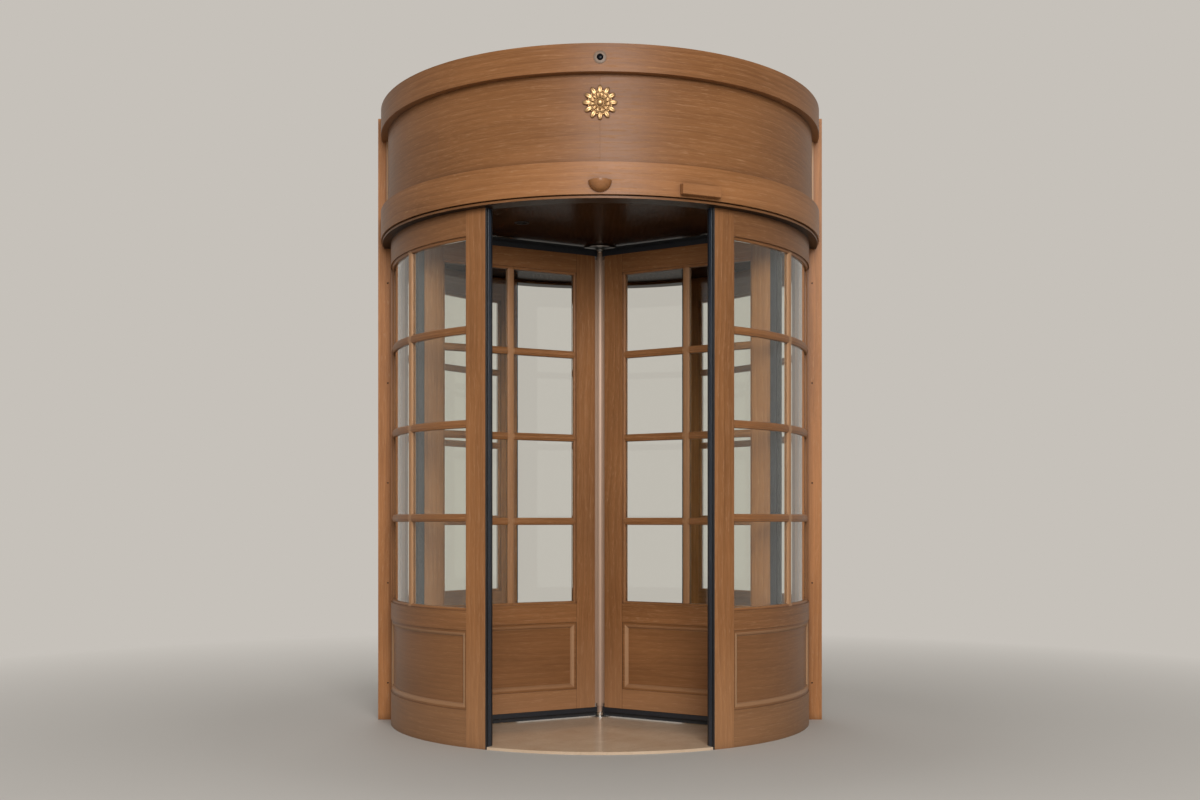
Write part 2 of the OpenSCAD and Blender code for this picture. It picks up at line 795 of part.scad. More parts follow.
floor_disc();
floor_bearing();
wall_post("left");  // wall_post_left
wall_post("right");  // wall_post_right
wall_end_stiles();
wall_post_stiles();
wall_rails(light_z1, soffit_z);  // wall_top_rails
wall_rails(panel_z1, light_z0);  // wall_lock_rails
wall_rails(0, panel_z0);  // wall_bottom_rails
glazing_bars("left");  // glazing_bars_left
glazing_bars("right");  // glazing_bars_right
wall_glass("left");  // wall_glass_left
wall_glass("right");  // wall_glass_right
wall_panels("left");  // wall_panels_left
wall_panels("right");  // wall_panels_right
edge_strips("left");  // edge_strips_left
edge_strips("right");  // edge_strips_right
soffit_ring();
ceiling_disc();
ceiling_rose();
downlights();
low_band("front");  // canopy_low_band_front
low_band("back");  // canopy_low_band_back
frieze("front");  // canopy_frieze_front
frieze("back");  // canopy_frieze_back
top_band("front");  // canopy_top_band_front
top_band("back");  // canopy_top_band_back
canopy_roof();
sensor_domes();
sensor_bars();
lens();
rosette();
centre_post();
wing_frame(0);  // wing_frame_a
wing_frame(1);  // wing_frame_b
wing_frame(2);  // wing_frame_c
wing_glass(0);  // wing_glass_a
wing_glass(1);  // wing_glass_b
wing_glass(2);  // wing_glass_c
wing_panel(0);  // wing_panel_a
wing_panel(1);  // wing_panel_b
wing_panel(2);  // wing_panel_c
wing_seal(0);  // wing_seal_a
wing_seal(1);  // wing_seal_b
wing_seal(2);  // wing_seal_c
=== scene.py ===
import json
import math
import random

import bmesh
import bpy
from mathutils import Matrix, Vector


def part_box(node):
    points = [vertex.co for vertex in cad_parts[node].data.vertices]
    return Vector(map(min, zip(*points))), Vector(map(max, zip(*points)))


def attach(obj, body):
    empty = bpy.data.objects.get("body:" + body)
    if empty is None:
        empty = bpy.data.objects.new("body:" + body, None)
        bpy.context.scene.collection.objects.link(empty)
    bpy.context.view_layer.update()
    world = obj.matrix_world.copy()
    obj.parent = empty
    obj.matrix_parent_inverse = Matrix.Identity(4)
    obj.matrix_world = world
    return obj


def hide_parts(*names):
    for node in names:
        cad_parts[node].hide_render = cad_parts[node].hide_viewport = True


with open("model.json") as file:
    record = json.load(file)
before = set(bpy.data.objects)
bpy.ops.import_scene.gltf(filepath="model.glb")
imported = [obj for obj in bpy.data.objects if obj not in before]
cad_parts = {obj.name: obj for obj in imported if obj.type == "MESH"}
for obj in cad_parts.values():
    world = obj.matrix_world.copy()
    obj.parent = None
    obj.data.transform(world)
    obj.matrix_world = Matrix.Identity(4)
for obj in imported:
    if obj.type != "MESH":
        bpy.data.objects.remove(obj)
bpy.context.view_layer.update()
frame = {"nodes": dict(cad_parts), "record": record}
nodes = frame["nodes"]
print("frame: " + str(len(nodes)) + " nodes")

fullTurn = 2 * math.pi
quarterTurn = math.pi / 2
millimetre = 0.001


# Sizes read from the frame

def rangeOf(name, measure):
    values = [measure(vertex.co) for vertex in nodes[name].data.vertices]
    return min(values), max(values)


def reach(point):
    return math.hypot(point.x, point.y)


wallRadius = sum(rangeOf("wall_bottom_rails", reach)) / 2
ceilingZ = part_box("ceiling_disc")[0].z
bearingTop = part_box("floor_bearing")[1].z
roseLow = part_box("ceiling_rose")[0].z


def wallAround(point):
    # metres round the wall, from 0 in the middle of a mouth to the most at a wall post
    return math.atan2(abs(point.x), abs(point.y)) * wallRadius


lightSpan = rangeOf("wall_top_rails", wallAround)
wingLetters = ("a", "b", "c")
wings = {}
for letter in wingLetters:
    low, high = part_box("wing_glass_" + letter)
    middle = (low + high) / 2
    turn = math.atan2(middle.y, middle.x)
    along = Vector((math.cos(turn), math.sin(turn), 0))
    span = rangeOf("wing_panel_" + letter, lambda point: point.dot(along))
    wings[letter] = {"turn": turn, "along": along, "span": span, "lights": (low.z, high.z)}


# Shader helpers

def screen(red, green, blue):
    # a colour read off a screen, 0 to 255, as the linear colour that the nodes want
    values = []
    for value in (red, green, blue):
        part = value / 255
        values.append(part / 12.92 if part <= 0.04045 else ((part + 0.055) / 1.055) ** 2.4)
    return (*values, 1)


def toned(colour, share):
    return tuple(value * share for value in colour[:3]) + (1,)


def fillInputs(tree, item, inputs):
    # links a socket and writes a plain value
    for key, value in inputs.items():
        if isinstance(value, bpy.types.NodeSocket):
            tree.links.new(value, item.inputs[key])
        else:
            item.inputs[key].default_value = value


def addNode(tree, kind, inputs, **settings):
    item = tree.nodes.new("ShaderNode" + kind)
    for name, value in settings.items():
        setattr(item, name, value)
    fillInputs(tree, item, inputs)
    return item


def maths(tree, operation, *values, clamp=False):
    return addNode(tree, "Math", dict(enumerate(values)), operation=operation, use_clamp=clamp).outputs[0]


def times(tree, first, second):
    return maths(tree, "MULTIPLY", first, second)


def mixColour(tree, factor, first, second):
    return addNode(tree, "Mix", {0: factor, 6: first, 7: second}, data_type="RGBA").outputs[2]


def mixVector(tree, factor, first, second):
    return addNode(tree, "Mix", {0: factor, 4: first, 5: second}, data_type="VECTOR").outputs[1]


def mixShader(tree, factor, first, second):
    return addNode(tree, "MixShader", {0: factor, 1: first.outputs[0], 2: second.outputs[0]}).outputs[0]


def mapRange(tree, value, low, high, newLow=0.0, newHigh=1.0):
    return addNode(tree, "MapRange", {0: value, 1: low, 2: high, 3: newLow, 4: newHigh}).outputs[0]


def overClouds(tree, cloud, values):
    # spreads a pair of values over 0.3 to 0.7, which noise seldom leaves
    return mapRange(tree, cloud, 0.3, 0.7, *values)


def vectorOf(tree, x, y, z):
    return addNode(tree, "CombineXYZ", {0: x, 1: y, 2: z}).outputs[0]


def drawnOut(tree, vector, share):
    # a pattern on it is longer along the last axis
    return addNode(tree, "VectorMath", {0: vector, 1: (1, 1, share)}, operation="MULTIPLY").outputs[0]


def shifted(tree, vector, amount):
    sideways = vectorOf(tree, amount, amount, 0.0)
    return addNode(tree, "VectorMath", {0: vector, 1: sideways}, operation="ADD").outputs[0]


def noise(tree, vector, scale, detail=2, roughness=0.5, drawn=None):
    if drawn:
        vector = drawnOut(tree, vector, drawn)
    inputs = {"Vector": vector, "Scale": scale, "Detail": detail, "Roughness": roughness}
    return addNode(tree, "TexNoise", inputs).outputs[0]


def near(tree, value, centre, width):
    # 1 within half a width of the centre
    return maths(tree, "COMPARE", value, centre, width / 2)


def within(tree, value, span):
    return near(tree, value, sum(span) / 2, span[1] - span[0])


def notIn(tree, mask):
    return maths(tree, "SUBTRACT", 1.0, mask)


def newGroup(name, made, vectors=(), colours=(), values=()):
    group = bpy.data.node_groups.new(name, "ShaderNodeTree")
    for kind, labels in (("Vector", vectors), ("Color", colours), ("Float", values)):
        for label in labels:
            group.interface.new_socket(label, in_out="INPUT", socket_type="NodeSocket" + kind)
    for label in made:
        kind = "Color" if label == "Color" else "Float"
        group.interface.new_socket(label, in_out="OUTPUT", socket_type="NodeSocket" + kind)
    return group, group.nodes.new("NodeGroupInput").outputs, group.nodes.new("NodeGroupOutput")


def useGroup(tree, group, inputs):
    return addNode(tree, "Group", inputs, node_tree=group).outputs


def newMaterial(name):
    material = bpy.data.materials.new(name)
    material.use_nodes = True
    tree = material.node_tree
    return material, tree, tree.nodes["Principled BSDF"]


def objectPlace(tree):
    return addNode(tree, "TexCoord", {}).outputs["Object"]


def axesOf(tree, vector):
    return addNode(tree, "SeparateXYZ", {0: vector}).outputs


def openSky(tree, distance):
    # 1 on open surfaces, less in creases
    return addNode(tree, "AmbientOcclusion", {"Distance": distance}, samples=6).outputs["AO"]


def finishSurface(tree, shader, height, distance, edge=0.0):
    # bump over edges that are softened by edge metres
    inputs = {"Height": height, "Distance": distance, "Strength": 1.0}
    if edge:
        inputs["Normal"] = addNode(tree, "Bevel", {"Radius": edge}, samples=4).outputs[0]
    fillInputs(tree, shader, {"Normal": addNode(tree, "Bump", inputs).outputs[0]})


# Shared effects

grainLayers = {
    "bend": {"scale": 2.2, "drawn": 0.4},
    "broad": {"scale": 5.0, "drawn": 0.18, "detail": 3},
    "streaks": {"scale": 95.0, "drawn": 0.03, "detail": 4, "roughness": 0.6},
    "fibres": {"scale": 420.0, "drawn": 0.02, "roughness": 0.6},
    "flecks": {"scale": 130.0, "drawn": 0.16},
}
growthBands = {"Scale": 9.0, "Distortion": 7.0, "Detail": 3.0, "Detail Scale": 0.9, "Detail Roughness": 0.55}
grainShape = {
    "bendWidth": 0.09,
    "bandsDrawn": 0.06,
    "bandsTone": 0.3,
    "broadTone": (0.3, 0.7, -0.36, 0.36),  # low and high noise, and what each adds to the tone
    "streaksTone": (0.25, 0.75, -0.22, 0.22),
    "fibresTone": (0.25, 0.75, -0.13, 0.13),
    "fleckRange": (0.63, 0.76),
    "poreRange": (0.56, 0.72),
    "poresInBands": (0.2, 0.9, 0.35, 1.0),
    "roughness": (0.40, 0.62),
    "fibreRelief": 0.5,
}


def buildGrainGroup():
    # oak with growth bands, fibres and limed pores; the last axis of the vector runs along the grain
    group, given, end = newGroup("oakGrain", ["Color", "Roughness", "Height"], vectors=["Vector"],
                                 colours=["Dark", "Light", "Lime"],
                                 values=["Lime Amount", "Figure", "Flecks"])
    bend = maths(group, "SUBTRACT", noise(group, given["Vector"], **grainLayers["bend"]), 0.5)
    bend = times(group, bend, grainShape["bendWidth"])
    place = shifted(group, given["Vector"], bend)
    broad, streaks, fibres, flecks = (noise(group, place, **grainLayers[name])
                                      for name in ("broad", "streaks", "fibres", "flecks"))
    bandPlace = drawnOut(group, place, grainShape["bandsDrawn"])
    bands = addNode(group, "TexWave", {"Vector": bandPlace, **growthBands}, wave_type="BANDS",
                    bands_direction="X", wave_profile="SAW").outputs[1]
    tone = times(group, maths(group, "SUBTRACT", bands, 0.5), grainShape["bandsTone"])
    tone = maths(group, "ADD", tone, mapRange(group, broad, *grainShape["broadTone"]))
    tone = maths(group, "ADD", tone, mapRange(group, streaks, *grainShape["streaksTone"]))
    tone = maths(group, "MULTIPLY_ADD", tone, given["Figure"], 0.5)
    tone = maths(group, "ADD", tone, mapRange(group, fibres, *grainShape["fibresTone"]), clamp=True)
    colour = mixColour(group, tone, given["Dark"], given["Light"])
    flecks = times(group, mapRange(group, flecks, *grainShape["fleckRange"]), given["Flecks"])
    pores = maths(group, "MAXIMUM", mapRange(group, fibres, *grainShape["poreRange"]), flecks)
    pores = times(group, pores, mapRange(group, bands, *grainShape["poresInBands"]))
    limed = times(group, pores, given["Lime Amount"])
    relief = times(group, fibres, grainShape["fibreRelief"])
    fillInputs(group, end, {
        "Color": mixColour(group, limed, colour, given["Lime"]),
        "Roughness": mapRange(group, pores, 0.0, 1.0, *grainShape["roughness"]),
        "Height": maths(group, "SUBTRACT", relief, pores)})
    return group


creaseRange = (0.35, 0.95)  # fully darkened, with painted shade and dirt, where this little sky shows, and plain where this much does


def buildCreaseGroup():
    # darkens a colour in the creases with painted shade, and with the polish and dirt that gather there
    group, given, end = newGroup("creaseShadeAndDirt", ["Color"], colours=["Color", "Shade And Dirt"],
                                 values=["Crease", "Amount"])
    hollow = mapRange(group, given["Crease"], *creaseRange, 1.0, 0.0)
    share = times(group, hollow, given["Amount"])
    fillInputs(group, end, {"Color": mixColour(group, share, given["Color"], given["Shade And Dirt"])})
    return group


wearAndShadeHeights = {"pale": (0.1, 0.65), "dark": (1.9, 2.9)}  # metres above the ground, for the wear low down and the painted shade under the canopy


def buildWearGroup():
    # cleaning pales the timber near the floor, and painted shade darkens it towards the soffit, under the
    # canopy
    group, given, end = newGroup("heightWearAndShade", ["Color"], colours=["Color", "Pale", "Dark"],
                                 values=["Height", "Pale Share", "Shade Share"])
    low = mapRange(group, given["Height"], *wearAndShadeHeights["pale"], 1.0, 0.0)
    high = mapRange(group, given["Height"], *wearAndShadeHeights["dark"])
    paleShare = times(group, low, given["Pale Share"])
    darkShare = times(group, high, given["Shade Share"])
    colour = mixColour(group, paleShare, given["Color"], given["Pale"])
    fillInputs(group, end, {"Color": mixColour(group, darkShare, colour, given["Dark"])})
    return group


def buildBrushedGroup():
    # fine lines along the vector's last axis
    group, given, end = newGroup("brushedLines", ["Roughness", "Height"], vectors=["Vector"],
                                 values=["Fine", "Base", "Spread"])
    lines = noise(group, given["Vector"], given["Fine"], detail=3, roughness=0.6, drawn=0.02)
    rough = maths(group, "MULTIPLY_ADD", lines, given["Spread"], given["Base"])
    fillInputs(group, end, {"Roughness": rough, "Height": lines})
    return group


oakGrain = buildGrainGroup()
creaseShadeAndDirt = buildCreaseGroup()
heightWearAndShade = buildWearGroup()
brushedLines = buildBrushedGroup()


# Places on the object as grain sees them

timber = {"faceShift": 3.0, "wingShift": 2.0}  # metres in the pattern, so that each side has its own boards


def grains(tree, level, through, height):
    return {"levelGrain": vectorOf(tree, height, through, level),
            "uprightGrain": vectorOf(tree, level, through, height)}


def outFromAxis(tree, axes):
    squares = [times(tree, axis, axis) for axis in axes[:2]]
    return maths(tree, "SQRT", maths(tree, "ADD", *squares))


def drumPlace(tree):
    # metres round the drum from the middle of a mouth, out from the axis and up
    axes = axesOf(tree, objectPlace(tree))
    turn = maths(tree, "ARCTAN2", axes[0], maths(tree, "ABSOLUTE", axes[1]))
    around = times(tree, turn, wallRadius)
    radius = outFromAxis(tree, axes)
    face = times(tree, maths(tree, "SIGN", axes[1]), timber["faceShift"])
    out = maths(tree, "ADD", radius, face)
    return {"level": maths(tree, "ABSOLUTE", around), "radius": radius, "height": axes[2],
            **grains(tree, around, out, axes[2])}


def wingPlace(tree, letter):
    # metres along the wing, through it and up
    turned = {"Vector": objectPlace(tree), "Rotation": (0, 0, -wings[letter]["turn"])}
    axes = axesOf(tree, addNode(tree, "Mapping", turned).outputs[0])
    through = maths(tree, "ADD", axes[1], timber["wingShift"] + wingLetters.index(letter))
    return {"level": axes[0], "height": axes[2], **grains(tree, axes[0], through, axes[2])}


# Oak

oakLook = {
    "light": screen(172, 117, 72),
    "dark": screen(120, 77, 42),
    "lime": screen(196, 154, 116),
    # the next colour is dirt in the joints, and also painted shade in creases and under the canopy
    "dirtAndShade": screen(58, 34, 19),
    "underside": screen(34, 20, 12),
    "limeAmount": 0.4,
    "flecks": 1.0,
    "wornAndShaded": False,
    # wear pales the timber low down, and painted shade darkens it under the canopy
    "paleLow": 0.22,
    "paintedShadeHigh": 0.24,
    "creaseReach": 0.05,
    "creaseShadeAndDirt": 0.5,
    "jointWidth": 0.0022,
    "jointDirt": 0.6,
    "edgeSoftness": 0.0022,
    "bump": 0.0005,
    "specular": 0.25,
}
oakFinishes = {
    "stileOak": {"tone": 1.02, "figure": 0.75, "wornAndShaded": True},
    "railOak": {"tone": 0.84, "figure": 0.7, "wornAndShaded": True},
    "barOak": {"tone": 1.04, "figure": 0.6, "wornAndShaded": True},
    "panelOak": {"tone": 0.78, "figure": 0.5, "limeAmount": 0.24, "flecks": 0.4, "wornAndShaded": True,
                 "paleLow": 0.08, "paintedShadeHigh": 0.0},
    "wingOak": {"tone": 0.87, "figure": 0.65, "wornAndShaded": True, "paleLow": 0.28, "paintedShadeHigh": 0.0},
    "wingPanelOak": {"tone": 0.76, "figure": 0.55, "limeAmount": 0.2, "flecks": 0.4, "wornAndShaded": True,
                     "paleLow": 0.06, "paintedShadeHigh": 0.0},
    "lowBandOak": {"tone": 0.97, "figure": 0.75},
    "topBandOak": {"tone": 0.91, "figure": 0.7, "flecks": 0.5},
    "friezeOak": {"tone": 0.8, "figure": 0.6, "limeAmount": 0.45, "flecks": 0.5},
    # the soffit's low tone is painted shade
    "shadedSoffitOak": {"tone": 0.62, "figure": 0.5},
    "wallPostOak": {"tone": 1.5, "figure": 0.6, "limeAmount": 0.75},
    "sensorCover": {"tone": 1.0, "figure": 0.4, "limeAmount": 0.12},
    "roofBoard": {"tone": 0.8, "figure": 0.7, "limeAmount": 0.1},
}


def oakSurface(tree, shader, vector, finish, joint=None, shade=None, paleLine=None):
    look = {**oakLook, **oakFinishes[finish]}
    grain = useGroup(tree, oakGrain, {
        "Vector": vector, "Dark": toned(look["dark"], look["tone"]),
        "Light": toned(look["light"], look["tone"]), "Lime": look["lime"],
        "Lime Amount": look["limeAmount"], "Figure": look["figure"], "Flecks": look["flecks"]})
    # painted shade, with dirt, in the creases
    colour = useGroup(tree, creaseShadeAndDirt, {
        "Color": grain["Color"], "Crease": openSky(tree, look["creaseReach"]), "Amount": look["creaseShadeAndDirt"],
        "Shade And Dirt": look["dirtAndShade"]})["Color"]
    if look["wornAndShaded"]:
        # paler with wear near the floor, darker with painted shade under the canopy
        height = axesOf(tree, objectPlace(tree))[2]
        colour = useGroup(tree, heightWearAndShade, {
            "Color": colour, "Height": height, "Pale": look["lime"], "Dark": look["dirtAndShade"],
            "Pale Share": look["paleLow"], "Shade Share": look["paintedShadeHigh"]})["Color"]
    if joint:
        colour = mixColour(tree, times(tree, joint, look["jointDirt"]), colour, look["dirtAndShade"])
    # painted shade on what faces down
    if shade:
        colour = mixColour(tree, shade, colour, look["underside"])
    if paleLine:
        colour = mixColour(tree, paleLine, colour, look["lime"])
    fillInputs(tree, shader, {"Base Color": colour, "Roughness": grain["Roughness"],
                              "Specular IOR Level": look["specular"]})
    finishSurface(tree, shader, grain["Height"], look["bump"], look["edgeSoftness"])


def drumOak(name, grain="levelGrain"):
    material, tree, shader = newMaterial(name)
    oakSurface(tree, shader, drumPlace(tree)[grain], name)
    return material


# upright bars are painted paler with the lime colour, as a painted highlight where they catch more light
glazing = {"barWidth": 0.044, "beadWidth": 0.016, "wallBarHighlight": 0.5, "wingBarHighlight": 0.3}


def barOak():
    # upright grain on the bar in the middle and on the beads at the sides
    material, tree, shader = newMaterial("barOak")
    place = drumPlace(tree)
    upright = near(tree, place["level"], sum(lightSpan) / 2, glazing["barWidth"])
    # a painted highlight on the upright bar
    pale = times(tree, upright, glazing["wallBarHighlight"])
    for edge in lightSpan:
        bead = near(tree, place["level"], edge, 2 * glazing["beadWidth"])
        upright = maths(tree, "MAXIMUM", upright, bead)
    vector = mixVector(tree, upright, place["levelGrain"], place["uprightGrain"])
    oakSurface(tree, shader, vector, "barOak", paleLine=pale)
    return material


# the pale line on mouldings is lime and a painted highlight
moulding = {"width": 0.034, "pale": (-0.002, 0.02), "levelLimeAndHighlight": 0.22, "uprightLimeAndHighlight": 0.5,
            "wallStrength": 1.5, "wingStrength": 1.0}


def frameLine(tree, place, levelSpan, heightSpan, strength):
    # lime and a painted highlight on the round of a panel's moulding, most of all on its upright sides
    outs = []
    for way, span in (("level", levelSpan), ("height", heightSpan)):
        fromMiddle = maths(tree, "ABSOLUTE", maths(tree, "SUBTRACT", place[way], sum(span) / 2))
        outs.append(maths(tree, "SUBTRACT", fromMiddle, (span[1] - span[0]) / 2 - moulding["width"]))
    band = within(tree, maths(tree, "MAXIMUM", *outs), moulding["pale"])
    upright = maths(tree, "GREATER_THAN", *outs)
    share = mapRange(tree, upright, 0.0, 1.0, moulding["levelLimeAndHighlight"], moulding["uprightLimeAndHighlight"])
    return times(tree, band, times(tree, share, strength))


def panelOak():
    material, tree, shader = newMaterial("panelOak")
    place = drumPlace(tree)
    low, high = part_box("wall_panels_left")
    around = rangeOf("wall_panels_left", wallAround)
    line = frameLine(tree, place, around, (low.z, high.z), moulding["wallStrength"])
    oakSurface(tree, shader, place["levelGrain"], "panelOak", paleLine=line)
    return material


def wingPanelOak(letter):
    material, tree, shader = newMaterial("wingPanelOak_" + letter)
    place = wingPlace(tree, letter)
    low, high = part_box("wing_panel_" + letter)
    line = frameLine(tree, place, wings[letter]["span"], (low.z, high.z), moulding["wingStrength"])
    oakSurface(tree, shader, place["levelGrain"], "wingPanelOak", paleLine=line)
    return material


def wingOak(letter):
    # stiles, beads and the middle bar have upright grain, rails and the other bars level grain
    material, tree, shader = newMaterial("wingOak_" + letter)
    place = wingPlace(tree, letter)
    along = place["level"]
    start, end = wings[letter]["span"]
    bead = glazing["beadWidth"]
    inLight = within(tree, place["height"], wings[letter]["lights"])
    stiles = notIn(tree, within(tree, along, (start, end)))
    middleBar = times(tree, near(tree, along, (start + end) / 2, glazing["barWidth"]), inLight)
    beads = times(tree, notIn(tree, within(tree, along, (start + bead, end - bead))), inLight)
    upright = maths(tree, "MAXIMUM", stiles, maths(tree, "MAXIMUM", middleBar, beads))
    vector = mixVector(tree, upright, place["levelGrain"], place["uprightGrain"])
    joints = [near(tree, along, edge, oakLook["jointWidth"]) for edge in (start, end)]
    joint = times(tree, maths(tree, "MAXIMUM", *joints), notIn(tree, inLight))
    # a painted highlight on the upright middle bar
    pale = times(tree, middleBar, glazing["wingBarHighlight"])
    oakSurface(tree, shader, vector, "wingOak", joint=joint, paleLine=pale)
    return material


friezeStrip = {"pastMiddle": 0.002, "lime": 0.9}


def friezeOak():
    # level streaks of little contrast, and a paler upright strip at each end, which stands out past them
    material, tree, shader = newMaterial("friezeOak")
    place = drumPlace(tree)
    middle = sum(rangeOf("canopy_frieze_front", reach)) / 2
    strip = maths(tree, "GREATER_THAN", place["radius"], middle + friezeStrip["pastMiddle"])
    vector = mixVector(tree, strip, place["levelGrain"], place["uprightGrain"])
    pale = times(tree, strip, friezeStrip["lime"])
    oakSurface(tree, shader, vector, "friezeOak", paleLine=pale)
    return material


def shadedSoffitOak():
    # only the ring's edge shows its timber; what faces down is painted dark as shade, as the ceiling is dark,
    # and the whole ring is toned down as painted shade
    material, tree, shader = newMaterial("shadedSoffitOak")
    facing = axesOf(tree, addNode(tree, "NewGeometry", {}).outputs["Normal"])[2]
    facesDown = maths(tree, "LESS_THAN", facing, -0.5)
    oakSurface(tree, shader, drumPlace(tree)["levelGrain"], "shadedSoffitOak", shade=facesDown)
    return material


def postOak():
    material, tree, shader = newMaterial("wallPostOak")
    oakSurface(tree, shader, objectPlace(tree), "wallPostOak")
    return material


def sensorOak():
    # the covers are stained to match the oak, with a faint print of grain under a lacquer
    material, tree, shader = newMaterial("sensorCover")
    oakSurface(tree, shader, drumPlace(tree)["levelGrain"], "sensorCover")
    fillInputs(tree, shader, {"Coat Weight": 0.25, "Coat Roughness": 0.2})
    return material


roof = {"boardWidth": 0.6, "gapShare": 0.004, "boardShift": 1.7}


def roofBoard():
    material, tree, shader = newMaterial("roofBoard")
    axes = axesOf(tree, objectPlace(tree))
    strip = maths(tree, "DIVIDE", axes[0], roof["boardWidth"])
    board = times(tree, maths(tree, "FLOOR", strip), roof["boardShift"])
    gap = maths(tree, "COMPARE", maths(tree, "FRACT", strip), 0.0, roof["gapShare"])
    oakSurface(tree, shader, vectorOf(tree, axes[0], board, axes[1]), "roofBoard", joint=gap)
    return material


# Glass, rubber, metal, paint and stone

glassLook = {"colour": screen(246, 247, 243), "inShadow": screen(236, 243, 240), "refraction": 1.45,
             "smearScale": 4.0, "smears": (0.45, 0.8, 0.0, 0.035)}


def clearGlass():
    # shadow rays pass straight through, so that the inside of the drum is lit
    material, tree, shader = newMaterial("clearGlass")
    smears = noise(tree, objectPlace(tree), glassLook["smearScale"], detail=4, drawn=0.35)
    fillInputs(tree, shader, {
        "Base Color": glassLook["colour"], "Transmission Weight": 1.0, "IOR": glassLook["refraction"],
        "Roughness": mapRange(tree, smears, *glassLook["smears"])})
    clear = addNode(tree, "BsdfTransparent", {"Color": glassLook["inShadow"]})
    shadowRay = addNode(tree, "LightPath", {}).outputs["Is Shadow Ray"]
    fillInputs(tree, tree.nodes["Material Output"], {"Surface": mixShader(tree, shadowRay, shader, clear)})
    return material


safetyStrip = {
    # the cover's lighter, bluer colour is a painted sheen
    "rubber": (screen(20, 21, 24), screen(34, 35, 39)), "cover": (screen(40, 48, 58), screen(52, 61, 72)),
    "coverWidth": 0.0262, "coverDepth": 0.001, "mottling": 60.0, "roughness": (0.30, 0.42),
    "bump": 0.0002, "edge": 0.003,
}


def rubberStrip():
    # black safety strip with a cover along its middle, painted lighter and bluer as a sheen
    material, tree, shader = newMaterial("safetyStrip")
    place = drumPlace(tree)
    face = rangeOf("edge_strips_left", wallAround)[0] + safetyStrip["coverDepth"]
    cover = times(tree, near(tree, place["radius"], wallRadius, safetyStrip["coverWidth"]),
                  maths(tree, "LESS_THAN", place["level"], face))
    mottling = noise(tree, objectPlace(tree), safetyStrip["mottling"], detail=3, drawn=0.1)
    colours = [mixColour(tree, mottling, *safetyStrip[name]) for name in ("rubber", "cover")]
    fillInputs(tree, shader, {"Base Color": mixColour(tree, cover, *colours),
                              "Roughness": overClouds(tree, mottling, safetyStrip["roughness"])})
    finishSurface(tree, shader, mottling, safetyStrip["bump"], safetyStrip["edge"])
    return material


plainFinishes = {
    "sealProfile": {"colours": (screen(24, 26, 30), screen(42, 46, 53)), "cloud": 90.0, "detail": 3,
                    "roughness": (0.34, 0.5), "bump": 0.0002, "edge": 0.002},
    "bristles": {"colours": (screen(14, 14, 15), screen(46, 46, 48)), "cloud": 260.0,
                 "roughness": (0.6, 0.8), "shine": {"Sheen Weight": 0.3}},
    "blackTrim": {"colours": (screen(26, 25, 25), screen(40, 39, 38)), "cloud": 500.0,
                  "roughness": (0.36, 0.5), "bump": 0.0001, "edge": 0.0008},
    "lensGlass": {"colours": (screen(6, 7, 10), screen(14, 15, 22)), "cloud": 40.0,
                  "shine": {"Roughness": 0.16, "Specular IOR Level": 0.08}},
    "lensRingPaint": {"colours": (screen(104, 84, 68), screen(132, 108, 88)), "cloud": 80.0, "detail": 3,
                      "roughness": (0.42, 0.55)},
    "frostedLamp": {"colours": (screen(168, 160, 148), screen(196, 188, 176)), "cloud": 120.0,
                    "shine": {"Roughness": 0.35}},
}


def plainFinish(name):
    # two close colours in soft clouds
    look = plainFinishes[name]
    material, tree, shader = newMaterial(name)
    cloud = noise(tree, objectPlace(tree), look["cloud"], look.get("detail", 2))
    colour = mixColour(tree, cloud, *look["colours"])
    fillInputs(tree, shader, {"Base Color": colour, **look.get("shine", {})})
    if "roughness" in look:
        fillInputs(tree, shader, {"Roughness": overClouds(tree, cloud, look["roughness"])})
    if "bump" in look:
        finishSurface(tree, shader, cloud, look["bump"], look["edge"])
    return material


ceilingLook = {"sectors": 6, "jointHalf": 0.0016, "joint": screen(10, 6, 4), "roughness": (0.24, 0.34),
               "specular": 0.02, "grainRelief": 0.1, "bump": 0.0008}
ceilingGrain = {"Dark": screen(32, 17, 8), "Light": screen(62, 36, 17), "Lime": screen(66, 42, 26),
                "Lime Amount": 0.15, "Figure": 1.0, "Flecks": 0.3}


def ceilingGloss():
    # dark stained board in sectors, each with its grain turned
    material, tree, shader = newMaterial("ceilingGloss")
    axes = axesOf(tree, objectPlace(tree))
    sectorTurn = fullTurn / ceilingLook["sectors"]
    turn = maths(tree, "ARCTAN2", axes[0], axes[1])
    part = maths(tree, "MULTIPLY_ADD", turn, 1 / sectorTurn, 0.5)
    offset = maths(tree, "ABSOLUTE", maths(tree, "SUBTRACT", maths(tree, "FRACT", part), 0.5))
    beside = times(tree, maths(tree, "SUBTRACT", 0.5, offset), outFromAxis(tree, axes))
    joint = maths(tree, "LESS_THAN", beside, ceilingLook["jointHalf"])
    tilt = times(tree, maths(tree, "FLOOR", part), sectorTurn)
    turned = addNode(tree, "VectorRotate", {"Vector": objectPlace(tree), "Axis": (0, 0, 1), "Angle": tilt},
                     rotation_type="AXIS_ANGLE").outputs[0]
    grain = useGroup(tree, oakGrain, {"Vector": turned, **ceilingGrain})
    rough = mapRange(tree, grain["Roughness"], *grainShape["roughness"], *ceilingLook["roughness"])
    fillInputs(tree, shader, {"Base Color": mixColour(tree, joint, grain["Color"], ceilingLook["joint"]),
                              "Roughness": rough, "Specular IOR Level": ceilingLook["specular"]})
    relief = times(tree, grain["Height"], ceilingLook["grainRelief"])
    finishSurface(tree, shader, maths(tree, "SUBTRACT", relief, joint), ceilingLook["bump"])
    return material


